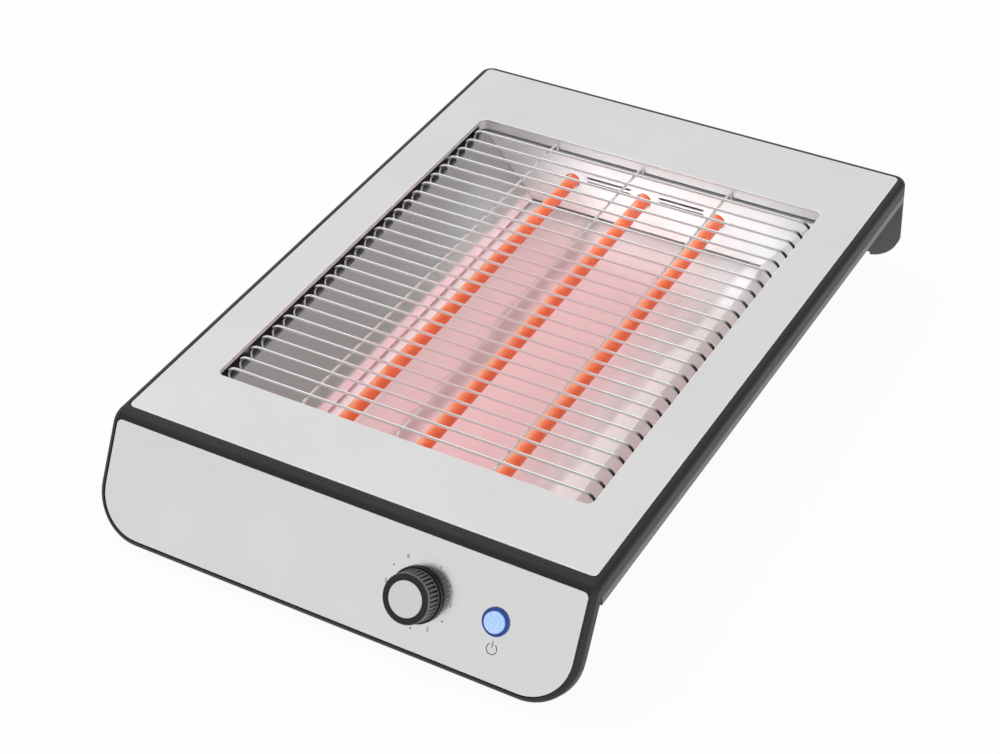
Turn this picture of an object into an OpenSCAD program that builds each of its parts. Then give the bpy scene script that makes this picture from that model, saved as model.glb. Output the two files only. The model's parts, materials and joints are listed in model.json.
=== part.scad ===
// Horizontal toaster: a flat body on a sloping front and a rear leg, with a wire grill over quartz tubes.
// X runs across the front, Y to the back and Z up; the origin is on the table under the middle of the whole.

/* [Body] */
// Width of the steel top plate
plate_w = 268; // [255:1:300]
// Length of the steel top plate
plate_l = 362; // [350:1:400]
// Thickness of the steel top plate
plate_t = 1; // [0.8:0.1:1.5]
// How far the plate stands out of the frame
plate_rise = 0.4; // [0:0.1:0.8]
// Corner radius of the steel top plate
plate_r = 3; // [2:0.5:5]
// Height of the frame's top face above the table
top_z = 60.5; // [59:0.5:68]
// How far the black body stands out around the plate
surround = 4.5; // [4:0.5:7]
// Height of the upper frame at its sides
frame_h = 7.5; // [7:0.5:9]
// Rounding of the upper frame's outer edge
frame_edge_r = 3.5; // [1:0.5:4]
// Radius of the bend from the top into the sloping front
bend_r = 8.5; // [8.5:0.5:10]
// Shadow gap between the upper frame and the lower housing
seam = 1; // [0.6:0.1:1.6]
// Height of the lower housing's side rails
rail_h = 5.5; // [4:0.5:7]
// Rounding of the rails' outer edges
rail_edge_r = 1; // [0.5:0.25:1.5]
// Thickness of the plastic walls
wall = 2.5; // [2:0.1:3]

/* [Front panel] */
// Lean of the front panel from the upright
panel_tilt = 30; // [27:1:33]
// Height of the steel panel along its slope
panel_h = 58.5; // [56:0.5:60]
// Thickness of the steel panel
panel_t = 1; // [0.6:0.1:1]
// Radius of the panel's upper corners
panel_top_r = 3; // [2:0.5:8]
// Radius of the panel's lower corners
panel_low_r = 24; // [18:1:26]
// Width of the bezel beside and below the panel
bezel = 3; // [2.5:0.1:4]
// How far the bezel stands out from the panel's face
bezel_rise = 0.5; // [0.3:0.1:0.8]
// Flat distance from the plate's front edge to the corner of the slope
nose = 7.4; // [7:0.2:9]
// Distance down the slope from that corner to the panel
brow = 2.7; // [2:0.1:4]
// Thickness of the lower housing's front rim
rim_t = 5; // [4:0.5:6]
// How far that rim is set in from the bezel's outline
rim_in = 2.2; // [1:0.1:2.8]

/* [Rear leg and base] */
// Thickness of the rear leg
leg_t = 7; // [6:0.5:8]
// Radius of the rear leg's lower corners
leg_r = 21; // [15:1:24]
// Height of the rear leg's lower edge above the table
leg_gap = 5; // [3:0.5:5.5]
// Height of the arch cut under the rear leg
leg_arch = 2; // [1.5:0.1:2.4]
// Width left standing at each end of that arch
leg_toe = 17.5; // [14:0.5:20]
// Depth of the recess in the back of the rear leg
leg_recess = 4; // [3:0.5:5]
// Clearance under the plastic body
table_gap = 0.6; // [0.4:0.1:1]
// Height of the base plate above the table
base_z = 8; // [7:0.5:9]
// Thickness of the base plate
base_t = 0.8; // [0.6:0.1:1.2]
// Diameter of the rubber feet
foot_d = 16; // [12:0.5:20]
// Shank diameter of the screws
screw_d = 3; // [2.5:0.1:3.5]
// Head diameter of the screws
screw_head_d = 6; // [5:0.1:7]
// Head height of the screws
screw_head_h = 1.8; // [1.4:0.1:2.2]

/* [Grill] */
// Plate left beside the opening
grill_side = 25; // [24:0.5:32]
// Plate left in front of the opening
grill_front = 41.5; // [40:0.5:46]
// Plate left behind the opening
grill_rear = 50.5; // [48:0.5:60]
// Gap between the lips turned down at the opening's ends and the reflectors' ledge
lip_gap = 1.4; // [0.5:0.1:2]
// Depth of the lips turned down along the opening's sides
side_lip = 3; // [2:0.5:4]
// Diameter of the grill's wires
wire_d = 1.6; // [1.4:0.1:2]
// Distance between the cross wires
wire_pitch = 10; // [9:0.1:12]
// Distance of the first cross wire from the opening's front edge
wire_start = 7.4; // [6:0.1:8]
// Least distance of the last cross wire from the opening's rear edge
wire_end = 10; // [8:0.5:12]
// Bend radius at the ends of the cross wires
wire_bend = 6; // [4:0.5:6.5]
// Bend radius at the ends of the long wires
rod_bend = 3; // [2.5:0.1:3.5]
// Distance between the long wires
rod_gap = 56; // [48:1:62]
// How far the long wires sit to the left of the middle
rod_shift = 1.5; // [0:0.5:3]

/* [Heating] */
// Diameter of the quartz tubes
tube_d = 8; // [7:0.5:10]
// Wall of the quartz tubes
tube_wall = 1; // [0.8:0.1:1.2]
// Distance between the quartz tubes
tube_gap = 47; // [42:1:50]
// Depth of the tubes' axes below the frame's top
tube_drop = 23.5; // [22:0.5:25]
// Diameter of the heating coils
coil_d = 4.4; // [3:0.2:4.6]
// Diameter of the ceramic end caps
cap_d = 13; // [12:0.5:15]
// Length of the ceramic end caps
cap_l = 14; // [13:0.5:15]
// Thickness of the reflector sheets and brackets
sheet_t = 0.8; // [0.6:0.1:1]
// How far the reflectors' ledge reaches in under the grill's sides
ledge_in = 4; // [3.5:0.1:5]
// How far it reaches in under the grill's ends
end_ledge_in = 2.3; // [2.2:0.1:3]
// How far the reflectors' flanges reach out over the deck
flange_out = 11; // [9:0.5:12]
// How far the side reflectors lean in from their ledge down to the tray
wall_in = 30; // [28:0.5:33]
// Depth of the heating space below the frame's top
floor_drop = 47.5; // [46:0.5:48]
// How far the crumb tray reaches out under each side reflector
tray_lap = 5; // [4:0.5:8]
// Height of the crumb tray's walls
tray_h = 2.2; // [2:0.1:3]

/* [Controls] */
// Distance of the knob from the panel's right edge
knob_in = 84.8; // [76:0.1:96]
// Distance of the button from the panel's right edge
button_in = 42.2; // [36:0.1:55]
// Distance of the knob down the slope from the panel's upper edge
knob_drop = 30.3; // [28:0.1:32]
// Distance of the button down the slope from the panel's upper edge
button_drop = 28.9; // [27:0.1:32]
// Diameter of the knob's grip
knob_d = 25.2; // [23:0.1:27]
// Diameter of the knob's flange
knob_flange_d = 28; // [27.5:0.1:30]
// Height of the knob over the panel
knob_h = 12; // [11:0.5:14]
// Number of flutes round the grip
flutes = 36; // [24:1:40]
// Diameter of the silver disc in the knob
disc_d = 18; // [15:0.1:19]
// Diameter of the knob's shaft
shaft_d = 6; // [5:0.1:6.2]
// Diameter of the threaded bushing round the shaft
bushing_d = 9; // [8.5:0.1:9.5]
// Diameter of the rotary control's housing
control_d = 25; // [22:0.5:26]
// Diameter of the button
button_d = 10.6; // [10:0.1:11.4]
// Diameter of the ring round the button
ring_d = 14.2; // [14:0.1:16]
// How far the button stands out from the panel
button_rise = 2.2; // [2:0.1:3]
// Travel of the button
button_travel = 1.8; // [1.2:0.1:2]

/* [Clearances] */
// Gap round pieces that are set into a recess
set_gap = 0.3; // [0.2:0.05:0.5]
// Gap between a moving piece and its neighbours
move_gap = 0.6; // [0.4:0.1:0.8]
// Radial gap of a shaft or a button in its guide
run_gap = 0.08; // [0.04:0.02:0.1]

/* [Hidden] */
$fn = 48;
cut = 0.5;
big = 1000;

// Outline of the body
body_w = plate_w + 2 * surround;
corner_r = plate_r + surround;
panel_w = body_w - 2 * (bezel + set_gap);
slope_l = brow + panel_h + bezel;
bend_turn = 90 - panel_tilt;
bend_tangent = bend_r * tan(bend_turn / 2);
panel_face = -bezel_rise;
panel_back = panel_face - panel_t;
backing = panel_back - wall;
frame_rim = 12;

// The straight parts of the frame reach into the bend by a lap and stand over it by a hair's step
lap = 0.3;
bend_step = 0.05;

// The knob's upper rim is the foremost point of the whole
knob_chamfer = 0.6;
knob_reach = (brow + knob_drop + knob_d / 2 - knob_chamfer) * sin(panel_tilt)
    + (knob_h + panel_face) * cos(panel_tilt);
front_reach = nose + max(knob_reach, slope_l * sin(panel_tilt));
total_l = front_reach + plate_l + surround;
plate_y = -total_l / 2 + front_reach;
rear_y = total_l / 2;
corner_y = plate_y - nose;
bend_y = corner_y + bend_tangent;

// Levels of the frame, the deck and the base
frame_z = top_z - frame_h;
deck_z = frame_z - seam;
rail_z = deck_z - rail_h;
base_top = base_z + base_t;
rim_face = -frame_h - seam;
rim_back = rim_face - rim_t;
rim_side = 9;
rim_low = 14;
seam_in = 3;
seam_w = 6;
recess_in = 10;
recess_z = leg_gap + leg_arch + 2;

// Heating space: the opening's front and rear edges, the end walls and the lean of the side walls
grill_w = plate_w - 2 * grill_side;
grill_l = plate_l - grill_front - grill_rear;
open_y0 = plate_y + grill_front;
open_y1 = open_y0 + grill_l;
open_r = 4;
space_y0 = open_y0 + end_ledge_in;
space_y1 = open_y1 - end_ledge_in;
space_w = grill_w - 2 * ledge_in;
ledge_z = deck_z + sheet_t;
lip_z = ledge_z + lip_gap;
tube_z = top_z - tube_drop;
floor_z = top_z - floor_drop;
tray_z = floor_z - sheet_t;
skirt_z = tray_z + tray_h + move_gap;
floor_w = space_w - 2 * wall_in;
tray_w = floor_w + 2 * tray_lap;
wall_lean = wall_in / (ledge_z - skirt_z);
wall_run = sheet_t * sqrt(1 + wall_lean * wall_lean);
deck_in = 3;
deck_w = space_w + 2 * (ledge_in + deck_in);
deck_y0 = open_y0 - deck_in * 2;
deck_y1 = open_y1 + deck_in * 2;
tub_w = deck_w + 2 * wall;

// Quartz tubes: sockets, caps and brackets, measured out from the opening's edges
tube_play = 0.75;
cap_near = 2;
seat_d = cap_d + 4;
seat_t = 0.5;
socket_l = 8;
bracket_gap = 9;
pin_l = 4;
pin_d = 2;
bracket_h = 22;
bracket_foot = 12;
bracket_w = 2 * tube_gap + cap_d + 20;

// Vents: slots in the base plate beside the tray and thin ones in the rear wall between the tubes
vent_n = 8;
vent_l = 20;
vent_d = 4;
vent_x = tray_w / 2 + vent_l * 0.7;
wall_vent_l = 29;
wall_vent_d = 1.6;
wall_vent_gap = 3;
wall_vent_z = tube_z + 2.5;

// Crumb tray
handle_w = tray_w + 10;
handle_h = 15;
handle_t = wall - 0.5;
handle_drop = tray_z - recess_z - move_gap;
grip_h = 3;
guide_w = 10;
guide_in = 20;

// Grill
wire_n = floor((grill_l - wire_start - wire_end) / wire_pitch) + 1;
wire_x = grill_w / 2 - wire_d * 0.75;
rod_z = top_z - wire_d;
rod_in = 1.3;

// Controls
knob_x = panel_w / 2 - knob_in;
button_x = panel_w / 2 - button_in;
knob_hollow = 5;
flange_h = 1.6;
flute_d = 1.4;
flute_out = 0.15;
disc_t = 1;
shaft_top = knob_h - 2.5;
shaft_foot = -7.5;
nut_h = 2;
bushing_h = nut_h + 0.4;
control_l = 15;

// Button: levels are measured out from the panel's face
sleeve_d = ring_d - 1.4;
ring_h = 0.8;
cap_wall = 1.2;
cap_roof = 1;
switch_z = -7.3;
switch_size = [16, 14, 12];
skirt_foot = switch_z + button_travel + cut;
stem_d = 3;
stem_in = 1.7;
lamp_d = 2;
lamp_h = 5;
lamp_x = (stem_d / 2 + button_d / 2 - cap_wall) / 2;

// Places of the fixings
base_screw_l = 12;
frame_bite = 5;
flange_bite = 4;
hole_gap = 0.4;
boss_h = 14;
base_screw_in = 12;
frame_screw_in = 25;
flange_screw_in = 30;
mid_y = (open_y0 + open_y1) / 2;
base_screw_y = [plate_y + base_screw_in, mid_y, rear_y - leg_t - base_screw_in];
boss_d = screw_d + 5;
boss_x = deck_w / 2 - boss_d / 2 + 0.5;
frame_screw_x = body_w / 2 - seam_in - seam_w / 2;
frame_screw_y = [plate_y + frame_screw_in, mid_y, rear_y - surround - frame_screw_in];
flange_screw_x = deck_w / 2 + (flange_out - deck_in) / 2;
flange_screw_y = [space_y0 + flange_screw_in, space_y1 - flange_screw_in];
foot_x = deck_w / 2 - foot_d;
foot_y = [plate_y + 4, rear_y - leg_t - foot_d];
gland_in = 40;
gland_x = body_w / 2 - gland_in;
gland_z = 30;
gland_d = 12;
gland_bore = 7;
gland_flange_d = gland_d + 6;
gland_flange_t = 2;
gland_nut_h = 4;

// Wiring space
block_size = [24, 16, 12];
block_in = 34;
block_at = [gland_x - block_size.x / 2, rear_y - leg_t - block_in, base_top];
pole_gap = 7;
pole_d = 3;
fuse_d = 4;
lead_d = 2.2;
lead_in = 16;
lead_rise = 14;

// Y on a plane parallel to the slope, at height z and distance w out from the bezel's face
function slope_y(z, w) = corner_y - (top_z - z) * tan(panel_tilt) - w / cos(panel_tilt);

// Helpers

// Both sides of a mirrored pair
module pair() {
    children();
    mirror([1, 0, 0]) children();
}

// The slope's own frame: X across, Y up the slope from its upper corner, Z out of the face
module on_panel() {
    translate([0, corner_y, top_z]) rotate([bend_turn, 0, 0]) children();
}

// A place on the panel's face, x to the right of the middle and down the slope from its upper edge
module on_control(x, drop) {
    on_panel() translate([x, -brow - drop, panel_face]) children();
}

module on_knob() {
    on_control(knob_x, knob_drop) children();
}

module on_button() {
    on_control(button_x, button_drop) children();
}

// Outline hanging from y = 0, with its own radius at the upper and the lower corners
module bib(w, h, upper_r, lower_r) {
    translate([-w / 2, lower_r - h]) square([w, h - lower_r - upper_r]);
    translate([lower_r - w / 2, -h]) square([w - 2 * lower_r, lower_r]);
    translate([upper_r - w / 2, -upper_r]) square([w - 2 * upper_r, upper_r]);
    for (side = [-1, 1]) {
        translate([side * (w / 2 - lower_r), lower_r - h]) circle(lower_r);
        translate([side * (w / 2 - upper_r), -upper_r]) circle(upper_r);
    }
}

// Rectangle from y0 to y1 with rounded corners, centred on X
module pane(w, y0, y1, r) {
    translate([0, y1]) bib(w, y1 - y0, r, r);
}

// Slot with round ends along X
module slot(l, d) {
    square([l - d, d], center = true);
    for (side = [-1, 1]) translate([side * (l - d) / 2, 0]) circle(d / 2);
}

// Cross-section of an edge: x inward from the outer face, y down from the top, rounded by r on top
module rounded_edge(depth, h, r) {
    translate([r, -h]) square([depth - r, h]);
    translate([0, -h]) square([depth, h - r]);
    translate([r, -r]) circle(r);
}

// Cross-section of a rail with both outer edges rounded
module rail_edge(depth, h, r) {
    translate([r, -h]) square([depth - r, h]);
    translate([0, r - h]) square([depth, h - 2 * r]);
    for (y = [-r, r - h]) translate([r, y]) circle(r);
}

// Sweeps an edge's cross-section along a U: two legs down from y = 0, two corners and the crossbar
module u_sweep(w, l, r) {
    pair() {
        translate([w / 2, 0, 0]) rotate([90, 0, 0]) linear_extrude(l - r) mirror([1, 0]) children();
        translate([w / 2 - r, r - l, 0]) rotate([0, 0, -90])
            rotate_extrude(angle = 90) translate([r, 0]) mirror([1, 0]) children();
    }
    translate([r - w / 2, -l, 0]) rotate([90, 0, 90]) linear_extrude(w - 2 * r) children();
}

// The same sweep on the level, with its crossbar at the rear
module rear_sweep(y0) {
    translate([0, y0, 0]) rotate([0, 0, 180]) u_sweep(body_w, rear_y - y0, corner_r) children();
}

// Plan outline of the body behind y0, drawn in by inset
module plan(y0, inset) {
    r = corner_r - inset;
    translate([inset - body_w / 2, y0]) square([body_w - 2 * inset, rear_y - corner_r - y0]);
    translate([corner_r - body_w / 2, y0]) square([body_w - 2 * corner_r, rear_y - inset - y0]);
    for (side = [-1, 1]) translate([side * (body_w / 2 - corner_r), rear_y - corner_r]) circle(r);
}

// A rod between two points
module rod(a, b, d) {
    run = b - a;
    translate(a) rotate([0, acos(run.z / norm(run)), atan2(run.y, run.x)]) cylinder(d = d, h = norm(run));
}

// A wire along a list of points, round at its bends
module wire(points, d) {
    for (i = [1 : len(points) - 1]) rod(points[i - 1], points[i], d);
    for (i = [1 : len(points) - 2]) translate(points[i]) sphere(d = d);
}

// A wire bent down at both ends: half its length, bend radius and the drop to the tip of its legs
module staple(half, r, drop, d) {
    pair() {
        rotate([0, 90, 0]) cylinder(d = d, h = half - r);
        translate([half - r, 0, -r]) rotate([90, 0, 0])
            rotate_extrude(angle = 90) translate([r, 0]) circle(d = d);
        translate([half, 0, -drop]) cylinder(d = d, h = drop - r);
    }
}

// A screw with its head below z = 0 and its shank above
module screw(l) {
    translate([0, 0, -screw_head_h]) cylinder(d = screw_head_d, h = screw_head_h);
    cylinder(d = screw_d, h = l);
}

// Places that repeat
module at_base_screws() {
    for (x = [-boss_x, boss_x], y = base_screw_y) translate([x, y, base_z]) children();
}

module at_frame_screws() {
    for (x = [-frame_screw_x, frame_screw_x], y = frame_screw_y) translate([x, y, rail_z]) children();
}

module at_flange_screws() {
    for (x = [-flange_screw_x, flange_screw_x], y = flange_screw_y) translate([x, y, ledge_z]) children();
}

module at_tubes() {
    for (x = [-tube_gap, 0, tube_gap]) translate([x, 0, tube_z]) rotate([-90, 0, 0]) children();
}

// Body

// The section of the frame across the bend: a thin wall between two deep edges
module bend_section() {
    w = body_w - 2 * bend_step;
    h = frame_h - 2 * bend_step;
    translate([0, -bend_step]) difference() {
        union() {
            for (side = [0, 1]) mirror([side, 0]) translate([-w / 2, 0]) rounded_edge(w / 2, h, frame_edge_r);
        }
        translate([frame_rim - w / 2 - 2 * bend_step, -h - cut])
            square([w - 2 * frame_rim + 4 * bend_step, h + cut - wall]);
    }
}

// Black surround of the plate, which bends down the slope as the panel's bezel
module upper_frame() {
    slope_r = panel_low_r + bezel;
    color("#2e2e30") difference() {
        union() {
            translate([0, 0, top_z]) rear_sweep(bend_y - lap) rounded_edge(corner_r, frame_h, frame_edge_r);
            translate([corner_r - body_w / 2, bend_y - lap, frame_z])
                cube([body_w - 2 * corner_r, rear_y - corner_r - bend_y + lap, frame_h]);
            translate([0, bend_y, top_z - bend_r]) rotate([180, -90, 0])
                rotate_extrude(angle = bend_turn) translate([bend_r, 0]) mirror([1, 0]) rotate(90)
                    bend_section();
            on_panel() {
                translate([0, lap - bend_tangent, 0]) u_sweep(body_w, slope_l - bend_tangent + lap, slope_r)
                    rounded_edge(frame_rim, frame_h, frame_edge_r);
                translate([0, -bend_tangent, backing]) linear_extrude(wall)
                    bib(body_w - frame_rim, slope_l - bend_tangent - frame_rim / 2, 1,
                        slope_r - frame_rim / 2);
            }
        }
        translate([0, 0, top_z + plate_rise - plate_t]) linear_extrude(plate_t + cut)
            pane(plate_w + 2 * set_gap, plate_y - set_gap, plate_y + plate_l + set_gap, plate_r + set_gap);
        translate([0, 0, frame_z - cut]) linear_extrude(frame_h + 2 * cut)
            pane(body_w - 2 * frame_rim, bend_y + frame_rim / 2, rear_y - frame_rim, 4);
        on_panel() translate([0, -brow + set_gap, panel_back]) linear_extrude(big)
            bib(panel_w + 2 * set_gap, panel_h + 2 * set_gap, panel_top_r + set_gap, panel_low_r + set_gap);
        on_knob() translate([0, 0, -big / 2]) cylinder(d = bushing_d + set_gap, h = big);
        on_button() translate([0, 0, -big / 2]) cylinder(d = sleeve_d + set_gap, h = big);
        at_frame_screws() cylinder(d = screw_d, h = frame_z - rail_z + frame_bite);
        translate([-big / 2, -big / 2, table_gap - big]) cube(big);
    }
}

// Side rails, front rim, tub and rear leg in one moulding
module lower_housing() {
    slope_r = panel_low_r + bezel;
    leg_h = deck_z - leg_gap;
    color("#4a4a4c") difference() {
        union() {
            translate([0, 0, deck_z]) rear_sweep(bend_y) rail_edge(corner_r, rail_h, rail_edge_r);
            translate([corner_r - body_w / 2, bend_y, rail_z])
                cube([body_w - 2 * corner_r, rear_y - corner_r - bend_y, rail_h]);
            translate([0, 0, rail_z]) linear_extrude(rail_h + seam) difference() {
                plan(bend_y + seam_in, seam_in);
                pane(body_w - 2 * (seam_in + seam_w), bend_y, rear_y - seam_in - seam_w, 1);
            }
            difference() {
                on_panel() {
                    translate([0, 0, rim_back]) linear_extrude(rim_t) front_rim(rim_in, slope_r - rim_in);
                    translate([0, 0, rim_back]) linear_extrude(rim_t + seam) difference() {
                        front_rim(seam_in, slope_r - seam_in);
                        translate([0, -bend_r * 2])
                            bib(body_w - 2 * rim_side, slope_l - bend_r * 2 - rim_side, 1,
                                slope_r - rim_side);
                    }
                }
                translate([-big / 2, -big / 2, deck_z]) cube(big);
                on_panel() translate([-big / 2, -bend_tangent, rim_face]) cube(big);
            }
            pair() translate([deck_w / 2, 0, 0]) rotate([90, 0, 90]) linear_extrude(wall) polygon([
                [slope_y(base_top, rim_back + 1), base_top],
                [rear_y - leg_t + 1, base_top],
                [rear_y - leg_t + 1, rail_z + 1],
                [slope_y(rail_z + 1, rim_back + 1), rail_z + 1]
            ]);
            intersection() {
                translate([0, rear_y, deck_z]) rotate([90, 0, 0]) linear_extrude(leg_t)
                    bib(body_w, leg_h, rail_edge_r, leg_r);
                linear_extrude(deck_z) plan(bend_y, 0);
            }
            translate([0, 0, base_t]) at_base_screws() cylinder(d = boss_d, h = boss_h);
        }
        on_panel() translate([-big / 2, -bend_tangent * 2, rim_face + seam]) cube(big);
        translate([0, 0, rail_z - cut]) linear_extrude(big) pane(deck_w, deck_y0, deck_y1, 1);
        translate([0, rear_y + cut, deck_z - recess_in]) rotate([90, 0, 0])
            linear_extrude(leg_recess + cut)
            bib(body_w - 2 * recess_in, deck_z - recess_in - recess_z, 4, leg_r - recess_z);
        translate([0, rear_y + cut, leg_gap + leg_arch]) rotate([90, 0, 0]) linear_extrude(big)
            bib(body_w - 2 * leg_toe, big, 1, 1);
        translate([-tray_w / 2 - move_gap, rear_y - leg_t - cut, tray_z - move_gap])
            cube([tray_w + 2 * move_gap, leg_t + cut, tray_h + 2 * move_gap]);
        translate([gland_x, rear_y, gland_z]) rotate([90, 0, 0])
            cylinder(d = gland_d + set_gap, h = 2 * leg_t, center = true);
        at_base_screws() cylinder(d = screw_d, h = base_screw_l);
        at_frame_screws() translate([0, 0, -cut])
            cylinder(d = screw_d + hole_gap, h = rail_h + seam + 2 * cut);
        at_flange_screws() translate([0, 0, -flange_bite]) cylinder(d = screw_d, h = flange_bite);
        translate([-big / 2, -big / 2, table_gap - big]) cube(big);
    }
}

// Outline of the lower housing's front rim, open in the middle
module front_rim(inset, r) {
    difference() {
        translate([0, -1]) bib(body_w - 2 * inset, slope_l - 1 - inset, 1, r);
        translate([0, -bend_r - rim_side])
            bib(deck_w, slope_l - bend_r - rim_side - rim_low, 4, rim_low);
    }
}

// Steel top with the grill's opening and the lip turned down round it
module top_plate() {
    face_z = top_z + plate_rise;
    color("#cfcfcf") difference() {
        union() {
            translate([0, 0, face_z - plate_t]) linear_extrude(plate_t)
                pane(plate_w, plate_y, plate_y + plate_l, plate_r);
            translate([0, 0, lip_z]) linear_extrude(face_z - lip_z)
                pane(grill_w + 2 * plate_t, open_y0 - plate_t, open_y1 + plate_t, open_r + plate_t);
        }
        translate([0, 0, lip_z - cut]) linear_extrude(big)
            pane(grill_w, open_y0, open_y1, open_r);
        translate([-big / 2, open_y0 + open_r, face_z - side_lip - big])
            cube([big, grill_l - 2 * open_r, big]);
    }
}

// Steel control panel
module front_panel() {
    color("#d2d2d2") difference() {
        on_panel() translate([0, -brow, panel_back]) linear_extrude(panel_t)
            bib(panel_w, panel_h, panel_top_r, panel_low_r);
        on_knob() translate([0, 0, -big / 2]) cylinder(d = bushing_d + set_gap, h = big);
        on_button() translate([0, 0, -big / 2]) cylinder(d = sleeve_d + set_gap, h = big);
    }
}

// Sheet that closes the tub from below, with two fields of vent slots
module base_plate() {
    front = slope_y(base_top, rim_back) + set_gap;
    back = rear_y - leg_t - set_gap;
    color("#8f9294") difference() {
        translate([0, 0, base_z]) linear_extrude(base_t) pane(tub_w, front, back, 3);
        at_base_screws() translate([0, 0, -cut]) cylinder(d = screw_d + hole_gap, h = base_t + 2 * cut);
        for (side = [-1, 1], i = [1 : vent_n])
            translate([side * vent_x, open_y0 + grill_l * i / (vent_n + 1), base_z - cut])
                linear_extrude(base_t + 2 * cut) slot(vent_l, vent_d);
    }
}

// Four feet under the base plate
module rubber_feet() {
    color("#1c1c1c") for (x = [-foot_x, foot_x], y = foot_y) translate([x, y, 0]) difference() {
        cylinder(d = foot_d, h = base_z);
        translate([0, 0, -cut]) cylinder(d = foot_d / 2, h = 1 + cut);
    }
}

// Screws that hold the base plate
module base_screws() {
    color("#9a9a9a") at_base_screws() screw(base_screw_l);
}

// Screws that draw the upper frame down on the deck
module frame_screws() {
    color("#9a9a9a") at_frame_screws() screw(frame_z - rail_z + frame_bite);
}

// Screws that hold the side reflectors' flanges
module reflector_screws() {
    color("#9a9a9a") at_flange_screws() rotate([180, 0, 0]) screw(flange_bite);
}

// Grill and heating

// Row of wires that carry the bread, with their ends bent down on the reflectors' ledges
module grill_cross_wires() {
    color("#e6e6e6") for (i = [0 : wire_n - 1])
        translate([0, open_y0 + wire_start + i * wire_pitch, top_z])
            staple(wire_x, wire_bend, top_z - ledge_z, wire_d);
}

// Three wires along the grill, which the cross wires are spot-welded on
module grill_long_wires() {
    color("#e6e6e6") for (x = [-rod_gap, 0, rod_gap])
        translate([x - rod_shift, mid_y, rod_z]) rotate([0, 0, 90])
            staple(grill_l / 2 - rod_in, rod_bend, rod_z - ledge_z, wire_d);
}

// Bent sheet from the deck down to the tray: flange, ledge and a wall that leans in
module side_reflector() {
    x0 = deck_w / 2 - deck_in + flange_out;
    x1 = space_w / 2;
    color("#dcdcdc") difference() {
        translate([0, space_y1 - set_gap, 0]) rotate([90, 0, 0])
            linear_extrude(space_y1 - space_y0 - 2 * set_gap) polygon([
                [x0, ledge_z],
                [x1, ledge_z],
                [floor_w / 2, skirt_z],
                [floor_w / 2 + wall_run, skirt_z],
                [x1 + wall_run - sheet_t * wall_lean, deck_z],
                [x0, deck_z]
            ]);
        for (y = flange_screw_y) translate([flange_screw_x, y, deck_z - cut])
            cylinder(d = screw_d + hole_gap, h = sheet_t + 2 * cut);
    }
}

module side_reflector_right() {
    side_reflector();
}

module side_reflector_left() {
    mirror([1, 0, 0]) side_reflector();
}

// End wall with its ledge, drawn at y = 0 with the heating space behind it, bored for the tubes
module end_reflector() {
    difference() {
        union() {
            translate([-space_w / 2 - flange_out, -end_ledge_in - flange_out, deck_z])
                cube([space_w + 2 * flange_out, end_ledge_in + flange_out, sheet_t]);
            rotate([90, 0, 0]) linear_extrude(sheet_t) polygon([
                [-space_w / 2, ledge_z],
                [-floor_w / 2, skirt_z],
                [floor_w / 2, skirt_z],
                [space_w / 2, ledge_z]
            ]);
            at_tubes() translate([0, 0, -sheet_t / 2]) cylinder(d = seat_d, h = sheet_t / 2 + seat_t);
        }
        at_tubes() cylinder(d = tube_d + 2 * tube_play, h = 4 * sheet_t, center = true);
    }
}

module front_end_reflector() {
    color("#dcdcdc") translate([0, space_y0, 0]) end_reflector();
}

// The rear wall also has two pairs of slots between the tubes
module rear_end_reflector() {
    color("#dcdcdc") translate([0, space_y1, 0]) difference() {
        mirror([0, 1, 0]) end_reflector();
        for (x = [-tube_gap / 2, tube_gap / 2], row = [-1, 1])
            translate([x, 0, wall_vent_z + row * wall_vent_gap / 2]) rotate([90, 0, 0])
                linear_extrude(4 * sheet_t, center = true) slot(wall_vent_l, wall_vent_d);
    }
}

// Quartz tubes with a coil in each
module quartz_tube(x) {
    y0 = open_y0 - cap_near - socket_l;
    y1 = open_y1 + cap_near + socket_l;
    color("#f0824e") translate([x, y0, tube_z]) rotate([-90, 0, 0]) difference() {
        cylinder(d = tube_d, h = y1 - y0);
        translate([0, 0, -cut]) cylinder(d = tube_d - 2 * tube_wall, h = y1 - y0 + 2 * cut);
    }
}

module quartz_tube_left() {
    quartz_tube(-tube_gap);
}

module quartz_tube_centre() {
    quartz_tube(0);
}

module quartz_tube_right() {
    quartz_tube(tube_gap);
}

// Outer shape of a winding, with a pin at each end that leads out through the cap
module heating_coil(x) {
    y0 = open_y0 - cap_near - cap_l - pin_l;
    y1 = open_y1 + cap_near + cap_l + pin_l;
    lead = cap_l + pin_l + 4;
    color("#c8641e") translate([x, y0, tube_z]) rotate([-90, 0, 0]) {
        cylinder(d = pin_d, h = y1 - y0);
        translate([0, 0, lead]) cylinder(d = coil_d, h = y1 - y0 - 2 * lead);
    }
}

module heating_coil_left() {
    heating_coil(-tube_gap);
}

module heating_coil_centre() {
    heating_coil(0);
}

module heating_coil_right() {
    heating_coil(tube_gap);
}

// Row of caps, drawn with their sockets opening at y = 0 and their closed ends at y = cap_l
module cap_row() {
    at_tubes() difference() {
        cylinder(d = cap_d, h = cap_l);
        translate([0, 0, -cut]) cylinder(d = tube_d, h = socket_l + cut);
        cylinder(d = pin_d, h = cap_l + cut);
    }
}

module ceramic_caps_front() {
    color("#efe9df") translate([0, open_y0 - cap_near, 0]) mirror([0, 1, 0]) cap_row();
}

module ceramic_caps_rear() {
    color("#efe9df") translate([0, open_y1 + cap_near, 0]) cap_row();
}

// Angle under the deck that carries a row of caps, drawn outward from y = 0
module tube_bracket() {
    difference() {
        union() {
            translate([-bracket_w / 2, 0, rail_z - bracket_h]) cube([bracket_w, sheet_t, bracket_h]);
            translate([-bracket_w / 2, 0, rail_z - sheet_t]) cube([bracket_w, bracket_foot, sheet_t]);
        }
        at_tubes() cylinder(d = cap_d, h = 4 * sheet_t, center = true);
    }
}

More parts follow.
